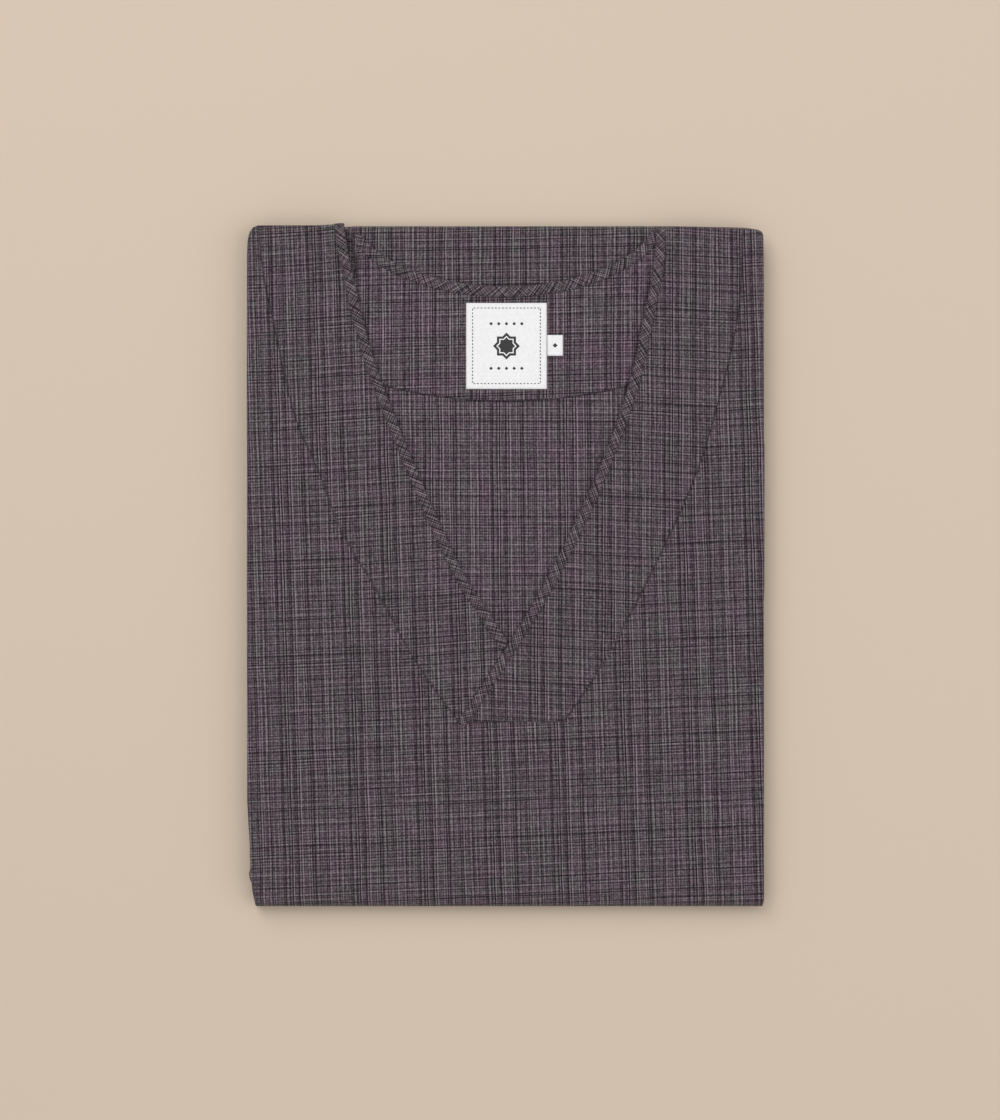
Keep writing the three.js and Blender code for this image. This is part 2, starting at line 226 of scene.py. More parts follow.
LEFT_SEAM = Seam(LEFT_SEAM_LINE)
RIGHT_SEAM = Seam(RIGHT_SEAM_LINE)
NECK_LEFT = Seam(NECK_LEFT_LINE)
NECK_RIGHT = Seam(NECK_RIGHT_LINE)


def waves(value, rows):
    """Sum of sines: rows of (height, length, offset)."""
    return sum(height * np.sin(2 * math.pi * (value / length + offset)) for height, length, offset in rows)


def bell(distance, width):
    """1 on a line, falling smoothly to 0 on both sides."""
    return np.exp(-(distance / width) ** 2)


def travelled_along(line):
    """Distance from a line's first point to each of its points."""
    return np.concatenate([[0], np.cumsum(np.hypot(*np.diff(line, axis=0).T))])


def in_rows(values, grid):
    """A value for each row, repeated over the columns of a grid."""
    return np.repeat(values[:, None], grid.shape[1], axis=1)


# The path of the front's outer face, from the shoulder round both end folds

def front_top(y):
    return mix(FRONT_TOP_LOW, FRONT_TOP_HIGH, ease(y, RAMP_FROM, RAMP_TO))


def fold_path():
    """Columns: length travelled, y, z and the outward normal's y and z."""
    turn = np.linspace(0, math.pi, 60)
    low_half = FRONT_TOP_LOW / 2
    high_half = SKIRT_TOP / 2
    top_y = np.arange(PATH_FROM_Y, LOWER_BEND_Y, -1.0)
    under_y = np.arange(LOWER_BEND_Y + 2, UPPER_BEND_Y, 4.0)
    inner_y = np.arange(UPPER_BEND_Y - 2, PATH_END_Y, -4.0)
    points = np.vstack([
        np.column_stack([top_y, front_top(top_y)]),
        np.column_stack([LOWER_BEND_Y - LOWER_FOLD_DEPTH * np.sin(turn), low_half * (1 + np.cos(turn))]),
        np.column_stack([under_y, 0 * under_y]),
        np.column_stack([UPPER_BEND_Y + FOLD_DEPTH * np.sin(turn), high_half * (1 - np.cos(turn))]),
        np.column_stack([inner_y, 0 * inner_y + SKIRT_TOP]),
    ])
    direction = np.gradient(points, axis=0)
    direction /= np.linalg.norm(direction, axis=1)[:, None]
    return np.column_stack([travelled_along(points) - PATH_FROM_Y, points, direction[:, 1], -direction[:, 0]])


PATH = fold_path()


def on_path(v, depth):
    """y and z of points at length v down the front (v is y on its upper side), depth outside its face."""
    travelled = -v
    y, z, normal_y, normal_z = (np.interp(travelled, PATH[:, 0], PATH[:, i]) for i in (1, 2, 3, 4))
    return y + depth * normal_y, z + depth * normal_z


def length_at(y, z_side):
    """Length v down the front at plan position y, on the underside or on the inner skirt stretch."""
    flat = PATH[np.abs(PATH[:, 2] - z_side) < 0.01]
    flat = flat[np.argsort(flat[:, 1])]
    return -np.interp(y, flat[:, 1], flat[:, 0])


def fallen_back(x, y):
    """Plan y of the skirt and inner layers once the top edge has slid back."""
    return y - along_rows(TOP_FALL, x) * ease(y, *TOP_FALL_Y)


LOWER_BEND_END = length_at(LOWER_BEND_Y + 2, 0.0)
UNDERSIDE_SPLIT = length_at(UNDERSIDE_SPLIT_Y, 0.0)


def side_rim_half(v):
    """Half the height of the rolled side edge at length v."""
    chest = (front_top(v) - SIDE_RIM) / 2
    return mix(chest, UNDERSIDE_RIM_HALF, ease(-v, -LOWER_BEND_Y, -LOWER_BEND_Y + RIM_CHANGE))


def rolled(fx, v):
    """Flat cloth to plan x, plan v and depth, rolled under at both sides and at the shoulder."""
    is_right = fx > 0
    shoulder = along_rows(SHOULDER_EDGE, fx)
    half_side = side_rim_half(v)
    half_top = (FRONT_TOP_HIGH - SHOULDER_RIM) / 2
    corner = np.where(is_right, SHOULDER_ROUND_RIGHT, SHOULDER_ROUND_LEFT)
    side_from = np.where(is_right, along_rows(RIGHT_EDGE, v), -along_rows(LEFT_EDGE, v)) - corner
    beyond_side = np.clip(np.abs(fx) - side_from, 0, None)
    beyond_top = np.clip(v - (shoulder - corner), 0, None)
    reach = np.hypot(beyond_side, beyond_top)
    safe = np.maximum(reach, 1e-6)
    across, along = beyond_side / safe, beyond_top / safe
    half = np.where(reach > 0, half_side * across ** 2 + half_top * along ** 2, half_side)
    over = reach - (corner - half)
    angle = np.clip(over / half, 0, math.pi)
    spare = np.clip(over - math.pi * half, 0, corner - half - TUCK_CLEARANCE)
    length = np.where(over > 0, corner - half + half * np.sin(angle) - spare, reach)
    depth = np.where(over > 0, -half * (1 - np.cos(angle)), 0.0)
    sign = np.where(is_right, 1.0, -1.0)
    x = np.where(reach > 0, sign * (np.minimum(np.abs(fx), side_from) + across * length), fx)
    new_v = np.where(reach > 0, np.minimum(v, shoulder - corner) + along * length, v)
    return x, new_v, depth


# Relief of the front: seams, puckers, press creases and soft troughs

# Rows: name, x and y of both ends, half width, depth (below zero is a trough)
CREASES = [
    ("left press crease", -168, 118, -112, 115, 1.3, -0.50),
    ("right press crease", 168, 91, 150, 92, 1.2, -0.55),
    ("point of the V", 1.4, -50.5, 3.0, -60.5, 0.8, -1.0),
    ("point of the V, left", -5.0, -51.4, 2.0, -52.4, 0.7, -0.8),
    ("point of the V, right", 2.4, -50.5, 11.0, -48.3, 0.7, -0.8),
    ("plastron corner, right", 35.5, -102.0, 44.5, -99.2, 0.8, -0.9),
    ("plastron corner, left", -28.5, -103.0, -19.0, -101.0, 1.1, -0.8),
    ("right seam, upper stroke", 153.9, 214, 153.4, 190, 0.8, -0.6),
    ("left shoulder, long", -150, 205, -132, 128, 7.0, 0.35),
    ("left side, upper", -166, 92, -140, 30, 6.0, 0.30),
    ("left side, middle", -163, 40, -118, -30, 8.0, -0.35),
    ("left side, lower", -166, -60, -128, -140, 9.0, 0.40),
    ("lower left corner, fan one", -164, -206, -138, -168, 3.2, -0.55),
    ("lower left corner, fan two", -160, -216, -120, -196, 3.0, -0.45),
    ("lower left corner, ridge", -166, -196, -146, -158, 3.4, 0.40),
    ("lower edge, left", -110, -218, -88, -186, 5.0, 0.25),
    ("lower edge, middle", -8, -219, 6, -176, 7.0, -0.30),
    ("lower edge, right", 96, -218, 84, -170, 6.0, 0.28),
    ("lower edge, pressed line", -104, -215.3, 62, -215.9, 0.9, -1.7),
    ("lower edge, pressed line, right", 20, -215.6, 178, -215.2, 1.0, -2.2),
    ("lower right, slanting", 160, -206, 118, -160, 6.5, -0.35),
    ("right side, lower", 163, -120, 138, -52, 8.0, 0.35),
    ("right side, middle", 166, -20, 142, 48, 7.0, -0.35),
    ("right side, upper", 160, 150, 163, 84, 2.6, 0.30),
    ("right shoulder", 160, 214, 154, 168, 1.8, -0.40),
    ("below the plastron, left", -40, -112, -74, -170, 7.0, -0.28),
    ("below the plastron, right", 42, -112, 66, -178, 8.0, 0.28),
    ("left plastron, long", -128, 190, -104, 60, 7.0, -0.25),
    ("left plastron, lower", -70, 20, -42, -60, 6.0, 0.25),
    ("right plastron, long", 122, 196, 102, 76, 8.0, 0.25),
    ("right plastron, lower", 58, 4, 30, -70, 6.0, -0.25),
]
# The same on the underside, guessed
UNDERSIDE_CREASES = [
    ("underside, left, long", -138, -176, -112, -20, 10.0, -0.55),
    ("underside, left, upper", -158, 40, -104, 122, 9.0, -0.40),
    ("underside, middle, slanting", -60, -96, 18, 24, 12.0, -0.50),
    ("underside, middle, upper", 10, 92, -22, 186, 9.0, -0.60),
    ("underside, right, lower", 84, -190, 132, -104, 9.0, -0.45),
    ("underside, right, long", 146, -60, 102, 96, 11.0, -0.55),
    ("underside, right, upper", 154, 128, 92, 178, 8.0, -0.35),
]
UNDULATION_X = [(0.16, 83, 0.10), (0.12, 47, 0.62), (0.07, 29, 0.33)]
UNDULATION_Y = [(0.18, 127, 0.35), (0.12, 71, 0.80), (0.06, 38, 0.15)]
PUCKER = [(0.10, 5.3, 0.0), (0.07, 3.9, 0.4), (0.05, 8.7, 0.7)]
SEAM_DIP = 0.95
SEAM_DIP_WIDTH = 0.75
GATHER_WIDTH = 3.2
ALLOWANCE_RISE = 0.28
ALLOWANCE_WIDTH = 9.0
STITCH_LINE_DIP = 0.75
STITCH_LINE_WIDTH = 0.8


def crease_height(x, y, creases):
    """Height of all troughs and ridges at a point, each tapered towards both of its ends."""
    height = np.zeros(np.broadcast(x, y).shape)
    for _, x0, y0, x1, y1, half_width, depth in creases:
        along = np.array([x1 - x0, y1 - y0], float)
        length = np.hypot(*along)
        along /= length
        travelled = (x - x0) * along[0] + (y - y0) * along[1]
        aside = (x - x0) * -along[1] + (y - y0) * along[0]
        start = ease(travelled, -0.15 * length, 0.3 * length)
        end = 1 - ease(travelled, 0.6 * length, 1.1 * length)
        height += depth * start * end * bell(aside, half_width)
    return height


def seam_dip(distance, travelled):
    """A seam pressed into the cloth, its edges gathered a little by the thread."""
    return waves(travelled, PUCKER) * bell(distance, GATHER_WIDTH) - SEAM_DIP * bell(distance, SEAM_DIP_WIDTH)


def front_relief(x, y):
    """Height of the cloth over the front's smooth form. The shifts keep the seams' puckers from matching."""
    height = waves(x + 0.35 * y, UNDULATION_X) + waves(y - 0.2 * x, UNDULATION_Y)
    height = height + crease_height(x, y, CREASES)
    left = LEFT_SEAM.distance(x, y)
    right = RIGHT_SEAM.distance(x, y)
    above_foot = ease(y, PLASTRON_FOOT_Y - 1.5, PLASTRON_FOOT_Y)
    height += above_foot * (seam_dip(left, y) + seam_dip(right, y * 1.03 + 2))
    inside = above_foot * (left > 0) * (right < 0)
    edge = np.minimum(np.abs(left), np.abs(right))
    allowance = ease(edge, 0.3, 1.4) * (1 - ease(edge, ALLOWANCE_WIDTH - 2, ALLOWANCE_WIDTH))
    height += ALLOWANCE_RISE * inside * allowance
    foot_span = (x > LEFT_SEAM.x(PLASTRON_FOOT_Y) - 1) & (x < RIGHT_SEAM.x(PLASTRON_FOOT_Y) + 1)
    height += foot_span * seam_dip(y - PLASTRON_FOOT_Y, x + 1.7)
    return height + lifted_neck(x, y) - binding_groove(x, y)


def binding_groove(x, y):
    """The line of stitches that holds each binding down along its outer edge."""
    left = NECK_LEFT.distance(x, y) + BINDING_WIDTH + SEAM_GAP
    right = NECK_RIGHT.distance(x, y) - BINDING_WIDTH - SEAM_GAP
    above_v = ease(y, V_POINT_Y - 2, V_POINT_Y + 4)
    near = bell(left, STITCH_LINE_WIDTH) * above_v + bell(right, STITCH_LINE_WIDTH)
    return STITCH_LINE_DIP * near * (1 + 3 * waves(y, PUCKER))


def lifted_neck(x, y):
    """The left neck edge stands up a little beside the shoulder."""
    return LIFTED_NECK * ease(y, *LIFTED_NECK_Y) * bell(NECK_LEFT.distance(x, y), LIFTED_NECK_WIDTH)


def front_point(fx, v, lift=0.0):
    """Points of the front's outer face, lifted off it, in millimetres."""
    x, plan_v, depth = rolled(fx, v)
    upper = ease(v, LOWER_BEND_Y - 10, LOWER_BEND_Y + 6)
    below = ease(-v, -LOWER_BEND_END, -LOWER_BEND_END + 30)
    inner = 1 - ease(-depth, 0.5, 2.5)
    plan_y = on_path(plan_v, 0.0)[0]
    height = front_relief(x, plan_v) * upper + crease_height(x, plan_y, UNDERSIDE_CREASES) * below
    y, z = on_path(plan_v, depth + height * inner + lift)
    return np.stack([x, y, np.maximum(z, LOWEST_CLOTH)], axis=-1)


# Meshes

# Distances of grid lines from a seam; the farther ones follow a binding's outer edge
NEAR_SEAM = (0.45, 0.95, 1.6, 2.6, 4.2)
BESIDE_BINDING = (5.4, 6.1, 6.8, 8.0)
CROWDED_SPAN = 24


def link(name, data):
    thing = bpy.data.objects.new(name, data)
    bpy.context.scene.collection.objects.link(thing)
    return thing


def make_mesh(name, points, cloth_uv, keep=None, around=False):
    """A sheet from a grid of points [row, column, xyz] and its cloth coordinates, both in millimetres."""
    rows, columns = points.shape[:2]
    index = np.arange(rows * columns).reshape(rows, columns)
    right = np.roll(index, -1, axis=1) if around else index[:, 1:]
    left = index if around else index[:, :-1]
    quads = np.stack([left[:-1], left[1:], right[1:], right[:-1]], axis=-1).reshape(-1, 4)
    if keep is not None:
        quads = quads[keep.reshape(-1)]
    used, corners = np.unique(quads, return_inverse=True)
    corners = corners.ravel()
    flat_points = points.reshape(-1, 3)[used] * MM
    flat_uv = cloth_uv.reshape(-1, 2)[used] * MM
    mesh = bpy.data.meshes.new(name)
    mesh.vertices.add(len(used))
    mesh.vertices.foreach_set("co", flat_points.astype(np.float32).ravel())
    mesh.loops.add(corners.size)
    mesh.loops.foreach_set("vertex_index", corners.astype(np.int32))
    mesh.polygons.add(len(quads))
    mesh.polygons.foreach_set("loop_start", np.arange(0, corners.size, 4, dtype=np.int32))
    mesh.polygons.foreach_set("use_smooth", np.ones(len(quads), bool))
    layer = mesh.uv_layers.new(name="cloth")
    layer.data.foreach_set("uv", flat_uv[corners].astype(np.float32).ravel())
    mesh.update(calc_edges=True)
    mesh.validate()
    return link(name, mesh)


def thicken(piece, thickness=CLOTH_THICKNESS):
    """Gives a sheet its cloth's thickness, inwards from its outer face."""
    modifier = piece.modifiers.new("thickness", "SOLIDIFY")
    modifier.thickness = thickness * MM
    modifier.offset = -1.0
    return piece


def dress(piece, node, material):
    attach(piece, "root")
    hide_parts(node)
    piece.data.materials.append(material)
    return piece


def graded(start, end, count, near_start=True, near_end=True):
    """Positions from start to end (arrays), crowded towards a seam at either end."""
    close = [*NEAR_SEAM, *BESIDE_BINDING]
    scale = np.minimum(1, np.abs(end - start) / CROWDED_SPAN) * np.sign(end - start)
    head = [start] + ([start + scale * d for d in close] if near_start else [])
    tail = ([end - scale * d for d in close[::-1]] if near_end else []) + [end]
    inner = [mix(head[-1], tail[0], i / count) for i in range(1, count)]
    return np.stack([*head, *inner, *tail], axis=-1)


def steps_between(start, end, step):
    count = max(1, round(abs(end - start) / step))
    return np.linspace(start, end, count + 1)


# The weave's place on each piece: where its charted repeat lies, from the photo

# Rows: warp shift, warp lean, weft shift, weft slope
GRAIN = {
    "front_body": (26.0, 0.030, 4.6, 0.045),
    "plastron_left": (0.2, 0.026, 40.8, 0.070),
    "plastron_right": (35.7, 0.0, 44.2, -0.055),
    "back_body": (15.9, 0.010, 27.2, 0.0),
    "back_facing": (30.0, 0.0, 21.0, 0.027),
    "front_skirt_fold": (14.8, 0.0, 17.0, 0.020),
    "folded_layers": (9.0, 0.0, 22.0, 0.0),
    "neck_binding_left": (0.0, 0.0, 0.0, 0.0),
    "neck_binding_right": (13.0, 0.0, 7.0, 0.0),
    "neck_binding_back": (21.0, 0.0, 3.0, 0.0),
}


def grain(name, fx, v):
    """Cloth coordinates of flat points: u across the warp, v down along it."""
    shift, lean, weft_shift, slope = GRAIN[name]
    return np.stack([fx + lean * v + shift, slope * fx - v + weft_shift], axis=-1)


# Front panel, chest stretch: rolled under at the sides and round the lower fold

def rows_to_foot(step):
    """Lengths v from the shoulder to the plastron's foot, crowded towards it."""
    upper = steps_between(SHOULDER_TUCK_Y, PLASTRON_FOOT_Y + 6, step)
    return np.concatenate([upper, PLASTRON_FOOT_Y + np.array([*NEAR_SEAM[::-1], 0])])


def front_rows():
    below = PLASTRON_FOOT_Y - np.array(NEAR_SEAM)
    lower = steps_between(PLASTRON_FOOT_Y - 6, LOWER_BEND_Y, 2.6)
    pressed = steps_between(LOWER_BEND_Y, PRESSED_LINE_END, 0.45)[1:]
    bend = steps_between(PRESSED_LINE_END, LOWER_BEND_END, 1.2)[1:]
    under = steps_between(LOWER_BEND_END, UNDERSIDE_SPLIT, 7)[1:]
    return np.concatenate([rows_to_foot(2.6), below, lower, pressed, bend, under])


def side_columns(edge_x, half, sign):
    """Columns round a rolled side, from the tuck inside out to where the cloth lies flat."""
    arc = math.pi * half
    start = edge_x - sign * half
    turn = [start + sign * (arc + TUCK), start + sign * (arc + TUCK * 0.45)]
    return turn + [start + sign * arc * share for share in np.linspace(1, 0, 11)]


def front_body(material):
    v = front_rows()
    half = side_rim_half(v)
    seam_y = np.maximum(v, PLASTRON_FOOT_Y)
    left_seam = LEFT_SEAM.x(seam_y, -SEAM_GAP / 3)
    right_seam = RIGHT_SEAM.x(seam_y, SEAM_GAP / 3)
    left_roll = side_columns(along_rows(LEFT_EDGE, v), half, -1.0)
    right_roll = side_columns(along_rows(RIGHT_EDGE, v), half, 1.0)[::-1]
    left = graded(left_roll[-1], left_seam, 44, near_start=False)
    middle = graded(left_seam, right_seam, 22)
    right = graded(right_seam, right_roll[0], 44, near_end=False)
    fx = np.concatenate([
        np.stack(left_roll[:-1], axis=-1), left, middle[:, 1:-1], right, np.stack(right_roll[1:], axis=-1),
    ], axis=1)
    rows_v = in_rows(v, fx)
    opening_from = len(left_roll) + left.shape[1] - 2
    opening_to = opening_from + middle.shape[1] - 1
    keep = np.ones((len(v) - 1, fx.shape[1] - 1), bool)
    keep[np.ix_(v[1:] > PLASTRON_FOOT_Y - 0.01, np.arange(opening_from, opening_to))] = False
    piece = make_mesh("front_body_cloth", front_point(fx, rows_v), grain("front_body", fx, rows_v), keep)
    return dress(thicken(piece), "front_body", material)


def plastron(name, node, left_x, right_x, material):
    v = rows_to_foot(2.4)
    fx = graded(left_x(v), right_x(v), 26)
    rows_v = in_rows(v, fx)
    piece = make_mesh(name, front_point(fx, rows_v), grain(node, fx, rows_v))
    return dress(thicken(piece), node, material)


def left_plastron_inner(v):
    """Neck edge down to the point of the V, then the lapping right half's edge."""
    return np.minimum(NECK_LEFT.x(v, -UNDER_BINDING), NECK_RIGHT.x(v, -SEAM_GAP))


def plastrons(material):
    left = plastron("plastron_left_cloth", "plastron_left",
                    lambda v: LEFT_SEAM.x(v, SEAM_GAP / 3), left_plastron_inner, material)
    right = plastron("plastron_right_cloth", "plastron_right",
                     lambda v: NECK_RIGHT.x(v, UNDER_BINDING),
                     lambda v: RIGHT_SEAM.x(v, -SEAM_GAP / 3), material)
    return left, right


# Bias bindings: a folded strip that caps each neck edge

# Rows across the strip: distance in from the neck edge, height above the piece that it binds
BINDING_SECTION = np.array([
    (6.1, -0.15), (6.15, 0.25), (5.9, 0.62), (5.2, 0.92), (4.2, 1.10), (3.1, 1.20), (2.0, 1.20),
    (1.0, 1.08), (0.35, 0.82), (-0.02, 0.45), (-0.12, 0.05), (0.0, -0.30), (0.3, -0.55),
    (1.0, -0.70), (2.6, -0.75),
])
BINDING_RIPPLE = [(0.06, 6.7, 0.2), (0.06, 13.3, 0.6), (0.03, 4.1, 0.1)]
BINDING_STEP = 1.3
BACK_BINDING_STEPS = 190
RIPPLE_IN_WIDTH = 0.1
BIAS_FINENESS = 1.3


def bias_uv(node, travelled, across, lean):
    """Cloth coordinates of a strip cut at 45 degrees to the threads; lean turns the warp to either side."""
    shift, _, weft_shift, _ = GRAIN[node]
    diagonal = BIAS_FINENESS * math.sqrt(0.5)
    u = (travelled + lean * across) * diagonal + shift
    v = (travelled - lean * across) * diagonal + weft_shift
    return np.stack([u, v], axis=-1)


def binding_strip(node, edge, outward, offset, lean):
    """Plan points, lift and cloth coordinates of a strip. outward leads from the neck edge into its piece."""
    travelled = travelled_along(edge)[:, None]
    ripple = waves(travelled + offset, BINDING_RIPPLE)
    inset, height = BINDING_SECTION.T
    across = inset * (1 + RIPPLE_IN_WIDTH * ripple)
    plan = edge[:, None, :] + outward[:, None, :] * across[..., None]
    lift = height + ripple * np.clip(height, 0, None)
    return plan, lift, bias_uv(node, travelled, travelled_along(BINDING_SECTION), lean)


def front_binding(name, node, seam, inward, foot_y, material):
    """inward is -1 where the bound piece lies to the left of the neck edge, 1 where to the right."""
    v = steps_between(SHOULDER_TUCK_Y - 1, foot_y, BINDING_STEP)
    slope = np.interp(v, seam.points[:, 1], seam.slope)
    outward = inward * np.stack([np.ones_like(slope), -slope], axis=-1) / np.hypot(1, slope)[:, None]
    edge = np.stack([seam.x(v), v], axis=-1)
    plan, lift, uv = binding_strip(node, edge, outward, 0, inward)
    points = front_point(plan[..., 0], plan[..., 1], lift)
    if inward > 0:
        points, uv = points[:, ::-1], uv[:, ::-1]
    return dress(thicken(make_mesh(name, points, uv)), node, material)


def scoop_point(angle, grow):
    across, down = SCOOP_HALF + grow, SCOOP_DEPTH + grow
    return np.stack([across * np.cos(angle), SCOOP_Y - down * np.sin(angle)], axis=-1)


def neck_grooves(x, y, shift, width):
    """1 in the line pressed under each neck edge, shift to the inner side of it."""
    return bell(NECK_LEFT.distance(x, y) - shift, width) + bell(NECK_RIGHT.distance(x, y) + shift, width)


def shoulder_gap(x, y):
    """Depth of the narrow gap to the right of the left neck edge, where the layers below sag."""
    open_at = ease(y, *SHOULDER_GAP_OPENS_Y) * (1 - 0.35 * ease(y, *SHOULDER_GAP_NARROWS_Y))
    aside = NECK_LEFT.distance(x, y) - 1.0 - 0.8 * open_at
    return SHOULDER_GAP_DEPTH * open_at * bell(aside, SHOULDER_GAP_HALF)


def back_relief(x, y):
    """The back and its facing lie nearly flat, and dip into the gap beside the left shoulder."""
    height = 0.6 * (waves(x - 0.25 * y, UNDULATION_X) + waves(y + 0.3 * x, UNDULATION_Y))
    lump = bell(x + 93, 5.5) * bell(y - 206, 8)
    return height - shoulder_gap(x, y) + lump - NECK_GROOVE * neck_grooves(x, y, 0.6, NECK_GROOVE_WIDTH)


def back_binding(material):
    """Runs from the right shoulder round the scoop and sinks into the gap at the left one."""
    right_end = math.asin((SCOOP_Y - SCOOP_RIGHT_END_Y) / (SCOOP_DEPTH + 3))
    left_end = math.pi - math.asin((SCOOP_Y - SHOULDER_NOTCH_Y - 1.5) / (SCOOP_DEPTH + 3))
    angle = np.linspace(right_end, left_end, BACK_BINDING_STEPS)
    edge = scoop_point(angle, 0)
    outward = scoop_point(angle, 1) - edge
    outward /= np.linalg.norm(outward, axis=1)[:, None]
    plan, lift, uv = binding_strip("neck_binding_back", edge, outward, 3, 1)
    travelled = travelled_along(edge)
    sunk = 1.6 * ease(travelled, travelled[-1] - 14, travelled[-1])[:, None]
    z = FACING_TOP + back_relief(plan[..., 0], plan[..., 1]) + lift - sunk
    piece = make_mesh("neck_binding_back_cloth", np.concatenate([plan, z[..., None]], axis=-1), uv)
    return dress(thicken(piece), "neck_binding_back", material)


# Back panel and facing, seen through the neck

def scoop_half_width(y, grow):
    """Half width of the scoop at y, 0 below it."""
    share = np.clip((SCOOP_Y - y) / (SCOOP_DEPTH + grow), -1, 1)
    return (SCOOP_HALF + grow) * np.sqrt(1 - share ** 2)


def scoop_rows(grow, top):
    last = math.asin((SCOOP_Y - top) / (SCOOP_DEPTH + grow))
    angles = np.linspace(last, math.pi / 2, SCOOP_STEPS // 2)
    return SCOOP_Y - (SCOOP_DEPTH + grow) * np.sin(angles)


def facing_lower_edge(x):
    return FACING_MIDDLE_Y + FACING_RISE * (x / FACING_RISE_AT) ** 2


def back_body(material):
    upper = scoop_rows(LAYER, BACK_HIGH[1])
    middle = FACING_MIDDLE_Y + FACING_RISE / 2
    hidden_from = V_POINT_Y - 12
    y = np.concatenate([
        upper, steps_between(upper[-1], middle + 8, 1.3)[1:], steps_between(middle + 8, middle - 8, 0.45)[1:],
        steps_between(middle - 8, hidden_from, 1.3)[1:], steps_between(hidden_from, BACK_LOW[1], 6)[1:],
    ])
    half = np.where(y > upper[-1], scoop_half_width(y, LAYER), 0.0)
    left = graded(np.full_like(y, BACK_LOW[0]), -half, 90, False, False)
    right = graded(half, np.full_like(y, BACK_HIGH[0]), 90, False, False)
    x = np.concatenate([left, right], axis=1)
    keep = np.ones((len(y) - 1, x.shape[1] - 1), bool)
    keep[:, left.shape[1] - 1] = False
    keep[np.ix_(y[:-1] > SHOULDER_NOTCH_Y, np.arange(left.shape[1]))] = False
    rows_y = in_rows(y, x)
    below_facing = rows_y - facing_lower_edge(x) + 0.40
    beside_neck = neck_grooves(x, rows_y, 0, 2 * NECK_GROOVE_WIDTH)
    under_facing = FACING_GROOVE * bell(below_facing, 0.50) * (np.abs(x) < FACING_HALF) * (1 - beside_neck)
    relief = 0.8 * np.minimum(back_relief(x, rows_y), 0.5) - 0.2 * shoulder_gap(x, rows_y)
    points = np.stack([x, rows_y, BACK_TOP + relief - under_facing], axis=-1)
    piece = make_mesh("back_body_cloth", points, grain("back_body", x, rows_y), keep)
    return dress(piece, "back_body", material)


def back_facing(material):
    """Its lower edge is turned under and held by a line of stitches."""
    x = np.linspace(-FACING_HALF, FACING_HALF, 321)
    share = np.clip(np.abs(x) / (SCOOP_HALF + LAYER), 0, 1)
    top = np.minimum(SCOOP_Y - (SCOOP_DEPTH + LAYER) * np.sqrt(1 - share ** 2), FACING_HIGH[1])
    top = np.where(x < 0, np.minimum(top, SHOULDER_NOTCH_Y), top)
    low = facing_lower_edge(x)
    y = graded(low, top, 110, near_start=True, near_end=False).T[::-1]
    columns_x = np.repeat(x[None, :], y.shape[0], axis=0)
    from_edge = y - low
    edge = 0.10 * bell(from_edge - 1.1, 0.6) - 0.14 * bell(from_edge - 2.2, 0.6) - 0.7 * bell(from_edge, 0.9)
    z = FACING_TOP + back_relief(columns_x, y) + edge
    points = np.stack([columns_x, y, z], axis=-1)
    piece = make_mesh("back_facing_cloth", points, grain("back_facing", columns_x, y))
    return dress(thicken(piece), "back_facing", material)


# Skirt stretch of the front, turned at the top edge, and the layers folded inside

def inner_points(x, v, depth, lowest):
    """Points of a layer inside the fold: slid back at the top edge and sunk into the shoulder's gap."""
    y, z = on_path(v, depth)
    y = fallen_back(x, y)
    z = z - shoulder_gap(x, y) * ease(z, 5, 8)
    return np.stack([x, y, np.maximum(z, lowest)], axis=-1)


def skirt_fold(material):
    v = steps_between(UNDERSIDE_SPLIT - 0.5, length_at(SKIRT_LOW[1], SKIRT_TOP), 1.6)
    arc = math.pi * SKIRT_ROLL
    left_from, right_from = SKIRT_LOW[0] + SKIRT_ROLL, SKIRT_HIGH[0] - SKIRT_ROLL
    turn = np.array([arc + TUCK, *np.linspace(arc, 0, 7)])
    inner = np.linspace(left_from, right_from, 100)[1:-1]
    columns = np.concatenate([left_from - turn, inner, right_from + turn[::-1]])
    fx = np.repeat(columns[None, :], len(v), axis=0)
    rows_v = in_rows(v, fx)
    beyond = np.clip(np.maximum(left_from - fx, fx - right_from), 0, None)
    angle = np.clip(beyond / SKIRT_ROLL, 0, math.pi)
    spare = np.clip(beyond - arc, 0, None)
    edge = np.where(fx > 0, right_from, left_from)
    x = np.where(beyond > 0, edge + np.sign(fx) * (SKIRT_ROLL * np.sin(angle) - spare), fx)
    depth = -SKIRT_ROLL * (1 - np.cos(angle))
    turned = -length_at(UPPER_BEND_Y - 1, SKIRT_TOP)
    upper = ease(-rows_v, turned - 14, turned)
    height = upper * (0.7 * waves(x, UNDULATION_X) + 0.5 * waves(rows_v, UNDULATION_Y))
    points = inner_points(x, rows_v, depth + height, LOWEST_CLOTH)
    piece = make_mesh("front_skirt_fold_cloth", points, grain("front_skirt_fold", fx, rows_v))
    return dress(thicken(piece), "front_skirt_fold", material)


